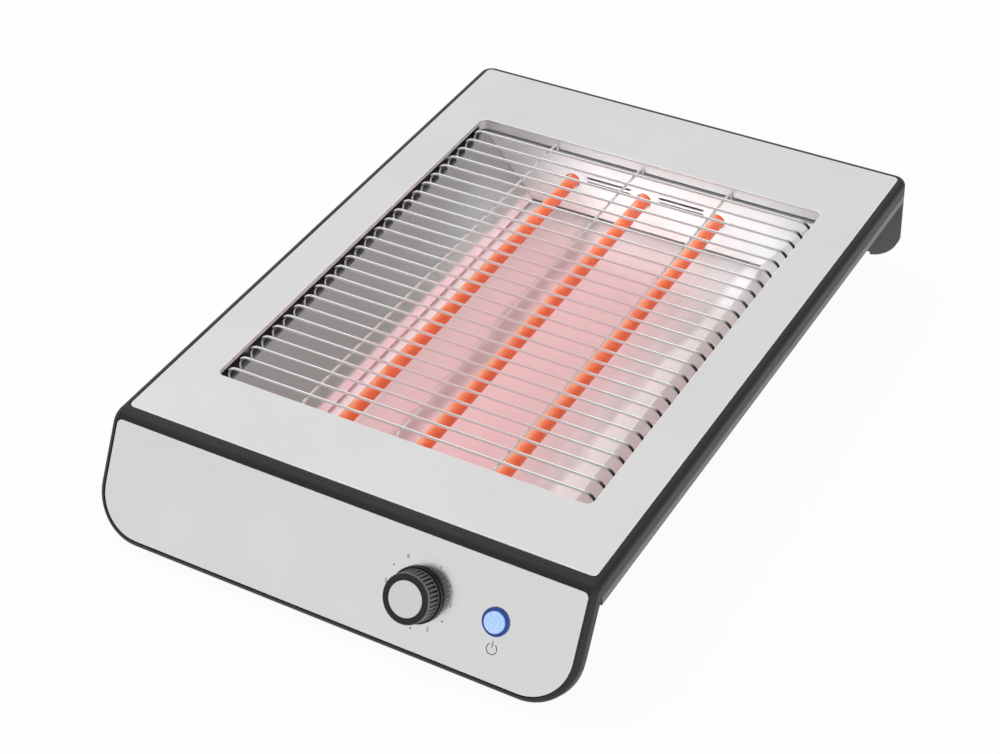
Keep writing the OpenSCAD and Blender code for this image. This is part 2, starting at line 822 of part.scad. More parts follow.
module tube_bracket_front() {
    color("#b4b6b8") translate([0, open_y0 - bracket_gap, 0]) mirror([0, 1, 0]) tube_bracket();
}

module tube_bracket_rear() {
    color("#b4b6b8") translate([0, open_y1 + bracket_gap, 0]) tube_bracket();
}

// Shallow tray that forms the floor of the heating space and draws out to the rear
module crumb_tray() {
    y0 = open_y0 - 2;
    y1 = rear_y - leg_recess + move_gap;
    color("#c4c4c4") difference() {
        translate([-tray_w / 2, y0, tray_z]) cube([tray_w, y1 - y0, tray_h]);
        translate([sheet_t - tray_w / 2, y0 + sheet_t, floor_z])
            cube([tray_w - 2 * sheet_t, y1 - y0 - 2 * sheet_t, tray_h]);
    }
}

// Handle that closes the tray's slot, with a grip lip along its lower edge
module crumb_tray_handle() {
    y0 = rear_y - leg_recess + move_gap;
    color("#2e2e30") translate([0, y0, tray_z - handle_drop]) {
        translate([0, handle_t, handle_h]) rotate([90, 0, 0]) linear_extrude(handle_t)
            bib(handle_w, handle_h, 3, 3);
        translate([-handle_w / 4, 0, 0]) cube([handle_w / 2, rear_y - y0, grip_h]);
    }
}

// Two runners on the base plate under the tray
module tray_guides() {
    h = tray_z - set_gap - base_top;
    l = rear_y - leg_t - set_gap - open_y0;
    color("#b4b6b8") pair() translate([tray_w / 2 - guide_in, open_y0, base_top]) cube([guide_w, l, h]);
}

// Controls

// Fluted knob with a flange at its foot, hollow underneath for the nut
module knob() {
    color("#262628") on_knob() difference() {
        union() {
            translate([0, 0, move_gap]) cylinder(d = knob_flange_d, h = flange_h);
            translate([0, 0, move_gap]) cylinder(d = knob_d, h = knob_h - move_gap - knob_chamfer);
            translate([0, 0, knob_h - knob_chamfer])
                cylinder(d1 = knob_d, d2 = knob_d - 2 * knob_chamfer, h = knob_chamfer);
        }
        for (i = [0 : flutes - 1]) rotate(i * 360 / flutes)
            translate([knob_d / 2 + flute_out, 0, move_gap + flange_h])
                cylinder(d = flute_d, h = knob_h - move_gap - flange_h - flute_d);
        translate([0, 0, knob_h - disc_t]) cylinder(d = disc_d, h = disc_t + cut);
        translate([0, 0, -cut]) cylinder(d = disc_d + 1, h = knob_hollow + cut);
        cylinder(d = shaft_d, h = shaft_top);
    }
}

// Silver disc let into the knob's face
module knob_disc() {
    color("#d6d6d6") on_knob() translate([0, 0, knob_h - disc_t]) cylinder(d = disc_d, h = disc_t);
}

// Shaft from the rotary control into the knob
module knob_shaft() {
    color("#a8a8a8") on_knob() translate([0, 0, shaft_foot]) cylinder(d = shaft_d, h = shaft_top - shaft_foot);
}

// Housing of the rotary control with its threaded bushing through the panel
module rotary_control() {
    color("#3c4046") on_knob() difference() {
        union() {
            translate([0, 0, -panel_t - wall - control_l]) cylinder(d = control_d, h = control_l);
            translate([0, 0, -panel_t - wall]) cylinder(d = bushing_d, h = panel_t + wall + bushing_h);
        }
        translate([0, 0, shaft_foot - cut]) cylinder(d = shaft_d + 2 * run_gap, h = big);
    }
}

// Hexagon nut on the bushing, hidden in the knob's hollow
module bushing_nut() {
    color("#b0b0b0") on_knob() difference() {
        cylinder(d = bushing_d * 1.54, h = nut_h, $fn = 6);
        translate([0, 0, -cut]) cylinder(d = bushing_d, h = nut_h + 2 * cut);
    }
}

// Translucent cap with its stem
module button_cap() {
    color("#7fb6f5") on_button() {
        difference() {
            translate([0, 0, skirt_foot]) cylinder(d = button_d, h = button_rise - skirt_foot);
            translate([0, 0, skirt_foot - cut])
                cylinder(d = button_d - 2 * cap_wall, h = cap_roof - skirt_foot + cut);
        }
        translate([0, 0, switch_z - stem_in]) cylinder(d = stem_d, h = cap_roof + lap - switch_z + stem_in);
    }
}

// Ring and sleeve that guide the cap, standing on the switch
module button_ring() {
    color("#2b4fb0") on_button() difference() {
        union() {
            cylinder(d = ring_d, h = ring_h);
            translate([0, 0, switch_z]) cylinder(d = sleeve_d, h = ring_h / 2 - switch_z);
        }
        translate([0, 0, switch_z - cut]) cylinder(d = button_d + 2 * run_gap, h = big);
    }
}

// Push switch behind the button
module power_switch() {
    color("#3a3a3a") on_button() difference() {
        translate([-switch_size.x / 2, -switch_size.y / 2, switch_z - switch_size.z]) cube(switch_size);
        translate([0, 0, switch_z - stem_in - button_travel - 1])
            cylinder(d = stem_d + 2 * run_gap, h = big);
    }
}

// Small lamp under the cap
module indicator_lamp() {
    color("#9fd0ff") on_button() translate([lamp_x, 0, switch_z]) cylinder(d = lamp_d, h = lamp_h);
}

// Wiring space

// Ceramic block where the mains wires end, with three wire holes
module terminal_block() {
    color("#e8e4da") difference() {
        translate(block_at) cube(block_size);
        for (i = [-1, 0, 1])
            translate([gland_x + i * pole_gap, block_at.y - cut, base_top + block_size.z / 2])
                rotate([-90, 0, 0]) cylinder(d = pole_d, h = block_size.y + 2 * cut);
    }
}

// Fuse that lies on the rear bracket, above the middle tube's cap
module thermal_fuse() {
    y = open_y1 + bracket_gap + sheet_t + fuse_d / 2;
    color("#c9b06a") translate([tube_gap / 2, y, tube_z]) rotate([0, 90, 0]) {
        cylinder(d = fuse_d, h = 12, center = true);
        cylinder(d = 1, h = 20, center = true);
    }
}

// Links across the pins and a lead from the block forward to the switch and the control
module wiring() {
    d = lead_d;
    pin_y0 = open_y0 - cap_near - cap_l - pin_l - d / 2;
    pin_y1 = open_y1 + cap_near + cap_l + pin_l + d / 2;
    lead_z = base_top + block_size.z / 2;
    lead_y = plate_y + lead_in;
    x1 = gland_x;
    x2 = gland_x - pole_gap;
    color("#b23a2a") {
        for (y = [pin_y0, pin_y1]) rod([-tube_gap - d, y, tube_z], [tube_gap + d, y, tube_z], d);
        wire([[x1, block_at.y, lead_z], [x1, lead_y, lead_z], [x1, lead_y, lead_z + lead_rise]], d);
        wire([[x2, block_at.y, lead_z], [x2, lead_y, lead_z], [knob_x, lead_y, lead_z]], d);
    }
}

// Bushing in the rear leg where a cord enters
module cord_gland() {
    color("#1f1f20") translate([gland_x, rear_y - leg_recess, gland_z]) rotate([90, 0, 0]) difference() {
        union() {
            translate([0, 0, -gland_flange_t]) cylinder(d = gland_flange_d, h = gland_flange_t);
            cylinder(d = gland_d, h = leg_t - leg_recess);
            translate([0, 0, leg_t - leg_recess]) cylinder(d = gland_flange_d - 1, h = gland_nut_h);
        }
        translate([0, 0, -gland_flange_t - cut]) cylinder(d = gland_bore, h = big);
    }
}

lower_housing();
upper_frame();
top_plate();
front_panel();
base_plate();
rubber_feet();
base_screws();
frame_screws();
reflector_screws();
grill_cross_wires();
grill_long_wires();
side_reflector_left();
side_reflector_right();
front_end_reflector();
rear_end_reflector();
quartz_tube_left();
quartz_tube_centre();
quartz_tube_right();
heating_coil_left();
heating_coil_centre();
heating_coil_right();
ceramic_caps_front();
ceramic_caps_rear();
tube_bracket_front();
tube_bracket_rear();
crumb_tray();
crumb_tray_handle();
tray_guides();
knob();
knob_disc();
knob_shaft();
rotary_control();
bushing_nut();
button_cap();
button_ring();
power_switch();
indicator_lamp();
terminal_block();
thermal_fuse();
wiring();
cord_gland();
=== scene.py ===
"""Looks of the flat toaster: materials, dial marks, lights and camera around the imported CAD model."""

import json
import math

import bmesh
import bpy
from mathutils import Matrix, Vector


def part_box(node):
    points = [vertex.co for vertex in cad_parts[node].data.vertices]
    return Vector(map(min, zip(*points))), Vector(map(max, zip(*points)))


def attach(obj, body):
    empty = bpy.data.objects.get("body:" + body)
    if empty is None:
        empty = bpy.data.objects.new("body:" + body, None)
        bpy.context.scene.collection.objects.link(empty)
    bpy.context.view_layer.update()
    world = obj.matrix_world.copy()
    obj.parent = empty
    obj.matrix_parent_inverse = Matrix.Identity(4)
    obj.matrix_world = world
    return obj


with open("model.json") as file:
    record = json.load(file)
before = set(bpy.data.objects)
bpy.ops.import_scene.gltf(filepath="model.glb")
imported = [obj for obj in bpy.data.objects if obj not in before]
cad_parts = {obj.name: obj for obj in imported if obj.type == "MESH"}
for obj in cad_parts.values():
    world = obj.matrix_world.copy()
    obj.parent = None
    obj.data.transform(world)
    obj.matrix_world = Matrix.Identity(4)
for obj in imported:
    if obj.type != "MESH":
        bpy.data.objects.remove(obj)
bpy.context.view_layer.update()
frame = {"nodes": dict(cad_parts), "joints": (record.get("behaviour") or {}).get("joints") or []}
NODES = frame["nodes"]
KNOB_JOINT = {joint["name"]: joint for joint in frame["joints"]}["knob_turn"]
SCENE = bpy.context.scene
MM = 0.001
KNOB_CREST_R = 12.6 * MM

# Range that a noise factor mostly keeps to
NOISE_LOW = 0.3
NOISE_HIGH = 0.7


def add_node(tree, kind, links=None, **values):
    """A new node: values are set on its inputs by name, and links join its inputs to other outputs."""
    node = tree.nodes.new(kind)
    for key, value in values.items():
        node.inputs[key].default_value = value
    for key, output in (links or {}).items():
        tree.links.new(output, node.inputs[key])
    return node


class Look:
    """A Principled material with short ways to wire procedural detail into it. Lengths are in metres."""

    def __init__(self, name, color, roughness, metallic=0.0, **sockets):
        self.material = bpy.data.materials.new(name)
        self.material.use_nodes = True
        self.tree = self.material.node_tree
        self.shader = self.tree.nodes["Principled BSDF"]
        values = {"Base Color": (*color, 1.0), "Roughness": roughness, "Metallic": metallic}
        values.update({key.replace("_", " "): value for key, value in sockets.items()})
        for key, value in values.items():
            self.shader.inputs[key].default_value = value
        self.place = self.add("ShaderNodeTexCoord").outputs["Object"]

    def add(self, kind, links=None, **values):
        """A new node of this material."""
        return add_node(self.tree, kind, links, **values)

    def noise(self, size, stretch=(1, 1, 1), detail=2.0):
        """Noise with features of about that size, drawn out along the axes that stretch names."""
        scale = [1 / (size * s) for s in stretch]
        mapping = self.add("ShaderNodeMapping", {"Vector": self.place}, Scale=scale)
        links = {"Vector": mapping.outputs["Vector"]}
        return self.add("ShaderNodeTexNoise", links, Scale=1.0, Detail=detail).outputs["Fac"]

    def axis(self, name):
        """One coordinate of the piece, in metres."""
        return self.add("ShaderNodeSeparateXYZ", {"Vector": self.place}).outputs[name]

    def ramp(self, factor, stops):
        """Colours by factor, from (position, colour) stops."""
        node = self.add("ShaderNodeValToRGB", {"Fac": factor})
        elements = node.color_ramp.elements
        while len(elements) < len(stops):
            elements.new(1.0)
        for element, (position, color) in zip(elements, stops):
            element.position = position
            element.color = (*color, 1.0)
        return node.outputs["Color"]

    def span(self, factor, low, high, to_low, to_high):
        """Factor mapped from one range to another, held at the ends."""
        limits = {"From Min": low, "From Max": high, "To Min": to_low, "To Max": to_high}
        return self.add("ShaderNodeMapRange", {"Value": factor}, **limits).outputs["Result"]

    def swing(self, noise, low, high):
        """A noise factor mapped from its usual range to another."""
        return self.span(noise, NOISE_LOW, NOISE_HIGH, low, high)

    def combine(self, operation, first, second):
        """Two factors added or multiplied."""
        node = self.add("ShaderNodeMath", {0: first, 1: second})
        node.operation = operation
        return node.outputs["Value"]

    def vector(self, operation, first, second=(0, 0, 0)):
        """One step of vector arithmetic between an output and a fixed vector."""
        node = self.add("ShaderNodeVectorMath", {0: first})
        node.operation = operation
        node.inputs[1].default_value = second
        return node.outputs["Value" if operation == "LENGTH" else "Vector"]

    def to(self, socket, output):
        """Joins an output to one of the shader's sockets."""
        self.tree.links.new(output, self.shader.inputs[socket])
        return self

    def vary_color(self, noise, dark, light):
        """Base colour between two shades, by a noise factor."""
        return self.to("Base Color", self.ramp(noise, [(NOISE_LOW, dark), (NOISE_HIGH, light)]))

    def vary_roughness(self, noise, low, high):
        """Roughness between two values, by a noise factor."""
        return self.to("Roughness", self.swing(noise, low, high))

    def bump(self, factor, depth):
        """Relief of about that depth, by a factor."""
        node = self.add("ShaderNodeBump", {"Height": factor}, Distance=depth, Strength=1.0)
        return self.to("Normal", node.outputs["Normal"])

    def wear(self, *names):
        """Puts the material on these CAD nodes."""
        for name in names:
            data = NODES[name].data
            data.materials.clear()
            data.materials.append(self.material)
        return self


def grey(level):
    """The neutral colour of that level."""
    return (level, level, level)


def shades(color, dark, light):
    """A darker and a lighter shade of a colour, as shares of it."""
    return tuple(c * dark for c in color), tuple(min(1, c * light) for c in color)


# Materials

def brushed(name, color, roughness=0.38, along=(60, 1, 1), depth=0.006 * MM):
    """Satin steel with fine lines along one axis and soft clouds of tone."""
    look = Look(name, color, roughness, metallic=1.0)
    lines = look.noise(0.25 * MM, along, detail=3.0)
    clouds = look.noise(45 * MM)
    look.vary_color(clouds, *shades(color, 0.98, 1.02))
    look.vary_roughness(lines, roughness - 0.08, roughness + 0.08)
    return look.bump(lines, depth)


def moulded(name, color, roughness, specular=0.45):
    """Moulded plastic with a fine spark-eroded grain."""
    look = Look(name, color, roughness, Specular_IOR_Level=specular)
    clouds = look.noise(30 * MM)
    grains = look.noise(0.35 * MM, detail=3.0)
    look.vary_color(clouds, *shades(color, 0.9, 1.12))
    look.vary_roughness(grains, roughness - 0.06, roughness + 0.08)
    return look.bump(grains, 0.012 * MM)


def fluted(name, joint, crest_r):
    """Black plastic with a painted highlight on the flutes' tops, which stand at crest_r round the joint's
    axis.
    """
    groove, painted_crest_highlight = grey(0.012), grey(0.15)
    look = moulded(name, groove, roughness=0.3, specular=0.3)
    from_joint = look.vector("SUBTRACT", look.place, joint["pos_m"])
    radius = look.vector("LENGTH", look.vector("CROSS_PRODUCT", from_joint, joint["axis"]))
    reach = 1 * MM
    near_crest = look.span(radius, crest_r - reach, crest_r + reach, 0.0, 1.0)
    # Painted highlight: the flutes' tops are coloured lighter than the grooves.
    stops = [(0.28, groove), (0.42, painted_crest_highlight), (0.58, painted_crest_highlight), (0.68, groove)]
    return look.to("Base Color", look.ramp(near_crest, stops))


def fine_grain(look):
    """The faint relief of drawn or rolled metal."""
    return look.bump(look.noise(0.4 * MM, detail=3.0), 0.004 * MM)


def polished(name, color, roughness, metallic=1.0):
    """Bright sheet with soft clouds of tone."""
    look = Look(name, color, roughness, metallic)
    clouds = look.noise(18 * MM)
    look.vary_color(clouds, *shades(color, 0.97, 1.02))
    look.vary_roughness(clouds, roughness * 0.9, roughness * 1.15)
    return fine_grain(look)


def reflector(name, sheet, foot_painted_light):
    """Bright sheet, paler and less metallic along its foot: painted light from the tubes' glow."""
    look = polished(name, sheet, roughness=0.30)
    foot_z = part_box(name)[0].z
    painted_light_h, fade_h = 3 * MM, 5 * MM
    foot = look.span(look.axis("Z"), foot_z + painted_light_h, foot_z + fade_h, 1.0, 0.0)
    # Painted light: the foot's paler colour stands in for the glow lighting the wall's foot.
    look.to("Base Color", look.ramp(foot, [(0.0, sheet), (1.0, foot_painted_light)]))
    look.to("Metallic", look.span(foot, 0.0, 1.0, 1.0, 0.2))
    return look.wear(name)


def lit_wire(name):
    """Chrome wire: dull, darker and pinkish over the tubes' middles with a painted pink glow there, and
    painted shade at its right-hand ends.
    """
    chrome, polish = grey(0.80), 0.12
    look = fine_grain(Look(name, chrome, polish, metallic=1.0, Emission_Strength=1.0))
    low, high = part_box("grill_cross_wires")
    across = look.span(look.axis("X"), low.x, high.x, 0.0, 1.0)
    front_fade, rear_fade, rear_clear = 35 * MM, 90 * MM, 50 * MM
    front = look.span(look.axis("Y"), low.y, low.y + front_fade, 0.3, 1.0)
    rear = look.span(look.axis("Y"), high.y - rear_fade, high.y - rear_clear, 1.0, 0.0)
    painted_glow_and_tint_mask = look.combine("MULTIPLY", front, rear)

    def over_tubes(side_value, over_tube_value, end):
        """Values along the wires: one at the sides, another over the tubes, and those of the right ends,
        where a near-black base is painted shade.
        """
        ends = [(0.974, side_value), (0.984, end)]
        middle = [(0.22, side_value), (0.30, over_tube_value), (0.78, over_tube_value), (0.86, side_value)]
        links = {"Fac": painted_glow_and_tint_mask, "Color1": look.ramp(across, ends), "Color2": look.ramp(across, middle + ends)}
        return look.add("ShaderNodeMixRGB", links).outputs["Color"]

    # Over the tubes the base is darker and pinkish; the near-black right ends are painted shade.
    look.to("Base Color", over_tubes(chrome, (0.36, 0.31, 0.31), grey(0.06)))
    look.to("Roughness", over_tubes(grey(polish), grey(0.34), grey(polish)))
    # The pink emission over the tubes is a painted glow: the wire itself gives no light.
    return look.to("Emission Color", over_tubes(grey(0.0), (0.36, 0.25, 0.25), grey(0.0)))


def heat_tinted_steel(name):
    """Tray sheet: tinted under the tubes, with two wavy streaks of painted shade, and painted light making
    it bright at both sides.
    """
    tray_painted_light, tinted, tray_painted_shade, tray_painted_dark_shade = grey(0.92), (0.56, 0.55, 0.54), grey(0.64), grey(0.36)
    look = Look(name, tinted, roughness=0.42, metallic=0.3)
    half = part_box("crumb_tray")[1].x
    across = look.span(look.axis("X"), -half, half, 0.0, 1.0)
    tray_waves = look.noise(22 * MM, (1, 2.5, 1), detail=3.0)
    waver = 0.03
    place = look.combine("ADD", across, look.swing(tray_waves, -waver, waver))
    # Painted light at both sides of the tray; the dark and the grey streak are painted shade.
    stops = [
        (0.07, tray_painted_light), (0.13, tinted), (0.27, tinted), (0.31, tray_painted_dark_shade), (0.33, tray_painted_dark_shade), (0.37, tinted),
        (0.80, tinted), (0.84, tray_painted_shade), (0.88, tray_painted_shade), (0.92, tray_painted_light)]
    look.to("Base Color", look.ramp(place, stops))
    look.vary_roughness(tray_waves, 0.36, 0.50)
    return look.bump(look.noise(25 * MM), 0.05 * MM)


def plain_metal(name, color, roughness):
    """Plain metal with fine specks."""
    look = Look(name, color, roughness, metallic=1.0)
    specks = look.noise(1.2 * MM, detail=4.0)
    look.vary_color(specks, *shades(color, 0.85, 1.08))
    look.vary_roughness(specks, roughness - 0.1, roughness + 0.12)
    return look.bump(specks, 0.01 * MM)


def dull(name, color, roughness, size=0.6 * MM, depth=0.02 * MM):
    """Rubber, ceramic, insulation, ink: a matt body colour with a fine grain."""
    look = Look(name, color, roughness)
    grains = look.noise(size, detail=4.0)
    look.vary_color(grains, *shades(color, 0.9, 1.08))
    look.vary_roughness(grains, roughness - 0.08, roughness + 0.08)
    return look.bump(grains, depth)


# Colours of the glowing quartz, from the deep orange of its painted shade on the lower right to the pale
# painted highlight on its upper left
QUARTZ_GLOW_AND_HIGHLIGHT = [
    (0.0, (0.42, 0.04, 0.01)), (0.45, (0.57, 0.07, 0.02)),
    (0.75, (0.66, 0.12, 0.05)), (1.0, (0.70, 0.28, 0.16))]


def glowing_quartz(name, axis, radius):
    """Milky quartz glowing from the coil inside it: deep orange, with a painted highlight making it paler
    towards its upper left.
    """
    look = Look(name, (0.20, 0.05, 0.02), roughness=0.22, Emission_Strength=1.0)
    across = look.span(look.axis("X"), axis.x - radius, axis.x + radius, 0.5, -0.5)
    upward = look.span(look.axis("Z"), axis.z - radius, axis.z + radius, -0.5, 0.5)
    cloud = look.noise(5 * MM, (1, 1.6, 1))
    # Painted highlight: the glow turns paler towards the tube's upper left.
    painted_highlight_lean = look.combine("ADD", across, upward)
    mottle = 0.18
    mottled = look.combine("ADD", painted_highlight_lean, look.swing(cloud, -mottle, mottle))
    reach = 0.7
    glow_and_highlight = look.span(mottled, -reach, reach, 0.0, 1.0)
    look.to("Emission Color", look.ramp(glow_and_highlight, QUARTZ_GLOW_AND_HIGHLIGHT))
    look.vary_roughness(cloud, 0.16, 0.3)
    return look.bump(cloud, 0.03 * MM)


def faced_plate(name, color):
    """Satin steel whose turned-down lips look paler than its face."""
    look = brushed(name, color)
    face_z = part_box("top_plate")[1].z
    lip_depth, face_depth = 2 * MM, 0.6 * MM
    return look.to("Metallic", look.span(look.axis("Z"), face_z - lip_depth, face_z - face_depth, 0.2, 1.0))


brushed("steel_panel", grey(0.74), roughness=0.22, depth=0.0012 * MM).wear("front_panel")
faced_plate("steel_plate", grey(0.74)).wear("top_plate")
brushed("silver_disc", grey(0.72), along=(30, 1, 1)).wear("knob_disc")
moulded("black_plastic", grey(0.020), roughness=0.45, specular=0.3).wear(
    "upper_frame", "crumb_tray_handle", "cord_gland")
moulded("grey_plastic", grey(0.13), roughness=0.42).wear("lower_housing")
fluted("knob_plastic", KNOB_JOINT, KNOB_CREST_R).wear("knob")
moulded("dark_bakelite", grey(0.035), roughness=0.5).wear("rotary_control", "power_switch")
lit_wire("grill_wire").wear("grill_cross_wires", "grill_long_wires")
# The left sheet is set darker than the right one: painted shade on the left wall.
reflector("side_reflector_left", grey(0.60), foot_painted_light=(0.88, 0.84, 0.86))
reflector("side_reflector_right", (0.66, 0.675, 0.675), foot_painted_light=grey(0.94))
polished("end_reflector", grey(0.86), roughness=0.42, metallic=0.35).wear(
    "rear_end_reflector", "front_end_reflector")
heat_tinted_steel("tray_steel").wear("crumb_tray")
plain_metal("zinc_sheet", (0.46, 0.47, 0.49), roughness=0.45).wear(
    "base_plate", "tube_bracket_front", "tube_bracket_rear", "tray_guides")
plain_metal("screw_steel", grey(0.55), roughness=0.35).wear(
    "base_screws", "frame_screws", "reflector_screws", "knob_shaft", "bushing_nut")
plain_metal("fuse_case", (0.62, 0.48, 0.2), roughness=0.35).wear("thermal_fuse")
dull("rubber", grey(0.02), roughness=0.75).wear("rubber_feet")
dull("ceramic", (0.78, 0.74, 0.66), roughness=0.6).wear(
    "ceramic_caps_front", "ceramic_caps_rear", "terminal_block")
dull("wire_insulation", (0.5, 0.05, 0.035), roughness=0.5).wear("wiring")

for side in ("left", "centre", "right"):
    low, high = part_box(f"quartz_tube_{side}")
    glowing_quartz(f"quartz_{side}", (low + high) / 2, (high.z - low.z) / 2).wear(f"quartz_tube_{side}")
    for piece in (f"quartz_tube_{side}", f"heating_coil_{side}"):
        NODES[piece].visible_glossy = False
        NODES[piece].visible_diffuse = False

coil_glow = (1.0, 0.25, 0.04, 1.0)
coil = Look("coil", (0.8, 0.2, 0.05), roughness=0.4, Emission_Color=coil_glow, Emission_Strength=1.5)
turns = coil.add("ShaderNodeTexWave", {"Vector": coil.place}, Scale=900.0)
turns.bands_direction = "Y"
coil.bump(turns.outputs["Fac"], 0.2 * MM)
coil.wear("heating_coil_left", "heating_coil_centre", "heating_coil_right")

cap_glow = [(0.1, (0.14, 0.24, 0.36)), (0.7, (0.02, 0.07, 0.24))]
cap = Look("blue_lens", (0.45, 0.62, 0.85), roughness=0.25, Emission_Strength=1.0)
cells = cap.add("ShaderNodeTexVoronoi", {"Vector": cap.place}, Scale=1100.0).outputs["Distance"]
cap.to("Emission Color", cap.ramp(cells, cap_glow))
cap.bump(cells, 0.08 * MM)
cap.wear("button_cap", "indicator_lamp")

ring_color, ring_glow = (0.005, 0.04, 0.22), (0.0, 0.06, 0.36, 1.0)
ring = Look("blue_ring", ring_color, roughness=0.12, Emission_Color=ring_glow, Emission_Strength=0.15)
ring.bump(ring.noise(0.8 * MM), 0.01 * MM)
ring.wear("button_ring")


# Marks printed on the panel

FACE = -Vector(KNOB_JOINT["axis"])
UP = FACE.cross(Vector((1, 0, 0)))
PRINT_LIFT = 0.03 * MM
INK_H = 0.02 * MM
STROKE = 0.45 * MM
FIGURE_H = 2.2 * MM
FONT_SIZE_FOR_HEIGHT = 1.4
DOT_R = 0.45 * MM
DOT_STEPS = 20
DIAL_R = 18 * MM
DIAL_UP = 0.9 * MM
DIAL_FIGURES = 6
DIAL_STEP = 360 / DIAL_FIGURES
SYMBOL_RIGHT = 0.9 * MM
SYMBOL_DOWN = 11.9 * MM
SYMBOL_R = 2.5 * MM
SYMBOL_GAP = 32
SYMBOL_STEPS = 48
BAR_LOW = 0.6 * MM
BAR_HIGH = 3.9 * MM


def on_panel(x, up):
    """The place x to the right of the knob's axis and up the slope from it. Z points out of the panel."""
    place = Vector(KNOB_JOINT["pos_m"]) + Vector((x, 0, 0)) + UP * up + FACE * PRINT_LIFT
    basis = Matrix((Vector((1, 0, 0)), UP, FACE)).transposed().to_4x4()
    return Matrix.Translation(place) @ basis


def on_dial(degrees):
    """The place on the dial's circle at that angle clockwise from up."""
    turn = math.radians(degrees)
    return on_panel(DIAL_R * math.sin(turn), DIAL_R * math.cos(turn) + DIAL_UP)


def printed(name, mesh, matrix, ink):
    """A printed mark on the panel, as a piece of the body."""
    piece = bpy.data.objects.new(name, mesh)
    SCENE.collection.objects.link(piece)
    piece.matrix_world = matrix
    mesh.materials.append(ink.material)
    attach(piece, "base")


def figure_mesh(text):
    """The mesh of a printed figure, centred on its own middle."""
    curve = bpy.data.curves.new("figure", "FONT")
    curve.body = text
    curve.size = FIGURE_H * FONT_SIZE_FOR_HEIGHT
    curve.align_x = "CENTER"
    curve.align_y = "CENTER"
    curve.extrude = INK_H
    maker = bpy.data.objects.new("figure", curve)
    SCENE.collection.objects.link(maker)
    bpy.context.view_layer.update()
    mesh = bpy.data.meshes.new_from_object(maker.evaluated_get(bpy.context.evaluated_depsgraph_get()))
    bpy.data.objects.remove(maker)
    return mesh


def arc_mesh(name, inner, outer, start, end, steps):
    """A flat band of ink along an arc, from start to end in degrees clockwise from up."""
    bm = bmesh.new()
    rows = []
    for step in range(steps + 1):
        turn = math.radians(start + (end - start) * step / steps)
        across = Vector((math.sin(turn), math.cos(turn), 0))
        corners = [across * r + Vector((0, 0, z)) for z in (0, INK_H) for r in (inner, outer)]
        rows.append([bm.verts.new(corner) for corner in corners])
    for a, b in zip(rows, rows[1:]):
        for i, j in ((2, 3), (3, 1), (1, 0), (0, 2)):
            bm.faces.new((a[i], a[j], b[j], b[i]))
    if end - start < 360:
        for row in (rows[0], rows[-1]):
            bm.faces.new([row[i] for i in (0, 1, 3, 2)])
    bmesh.ops.remove_doubles(bm, verts=bm.verts, dist=1e-7)
    bmesh.ops.recalc_face_normals(bm, faces=bm.faces)
    mesh = bpy.data.meshes.new(name)
    bm.to_mesh(mesh)
    return mesh


def bar_mesh(name, width, low, high):
    """A flat upright bar of ink from low to high."""
    bm = bmesh.new()
    bmesh.ops.create_cube(bm, size=1.0)
    bmesh.ops.scale(bm, vec=(width, high - low, INK_H), verts=bm.verts)
    bmesh.ops.translate(bm, vec=(0, (low + high) / 2, INK_H / 2), verts=bm.verts)
    mesh = bpy.data.meshes.new(name)
    bm.to_mesh(mesh)
    return mesh


ink = dull("printed_ink", (0.10, 0.10, 0.105), roughness=0.6, size=0.2 * MM, depth=0.002 * MM)
for figure in range(1, DIAL_FIGURES + 1):
    place = on_dial(DIAL_STEP * figure - DIAL_STEP / 2)
    printed(f"dial_figure_{figure}", figure_mesh(str(figure)), place, ink)
for gap in range(1, DIAL_FIGURES):
    dot = arc_mesh("dot", 0, DOT_R, 0, 360, DOT_STEPS)
    printed(f"dial_dot_{gap}", dot, on_dial(DIAL_STEP * gap), ink)

low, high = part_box("button_cap")
symbol = on_panel((low.x + high.x) / 2 - KNOB_JOINT["pos_m"][0] + SYMBOL_RIGHT, -SYMBOL_DOWN)
arc = arc_mesh("arc", SYMBOL_R, SYMBOL_R + STROKE, SYMBOL_GAP, 360 - SYMBOL_GAP, SYMBOL_STEPS)
printed("power_symbol_arc", arc, symbol, ink)
printed("power_symbol_bar", bar_mesh("bar", STROKE, BAR_LOW, BAR_HIGH), symbol, ink)


# Rounded edges that catch the light, in a paler material that adds a painted highlight

EDGE_W = 0.48 * MM
EDGE_SEGMENTS = 3
WELD_REACH = 0.002 * MM
FLAT_ANGLE = math.radians(2)
SHARP_ANGLE = math.radians(50)


def round_edges(name, edge):
    """Rounds a CAD node's sharp edges, in a paler material of their own that paints a highlight along them,
    and keeps the faces flat.
    """
    node = NODES[name]
    node.data.materials.append(edge.material)
    weld = node.modifiers.new("weld", "WELD")
    weld.merge_threshold = WELD_REACH
    join = node.modifiers.new("join", "DECIMATE")
    join.decimate_type = "DISSOLVE"
    join.angle_limit = FLAT_ANGLE
    bevel = node.modifiers.new("edge", "BEVEL")
    bevel.width = EDGE_W
    bevel.segments = EDGE_SEGMENTS
    bevel.limit_method = "ANGLE"
    bevel.angle_limit = SHARP_ANGLE
    bevel.use_clamp_overlap = False
    bevel.material = 1
    level = node.modifiers.new("level", "WEIGHTED_NORMAL")
    level.keep_sharp = False


# The edges' material is paler than the sheets: a painted highlight line.
painted_edge_highlight = polished("painted_edge_highlight", grey(0.96), roughness=0.34, metallic=0.5)
for sheet in ("top_plate", "front_panel"):
    round_edges(sheet, painted_edge_highlight)


# Stage: floor, world, lamps and camera

FLOOR_HALF = 4.0
FLOOR_WHITE = 0.94


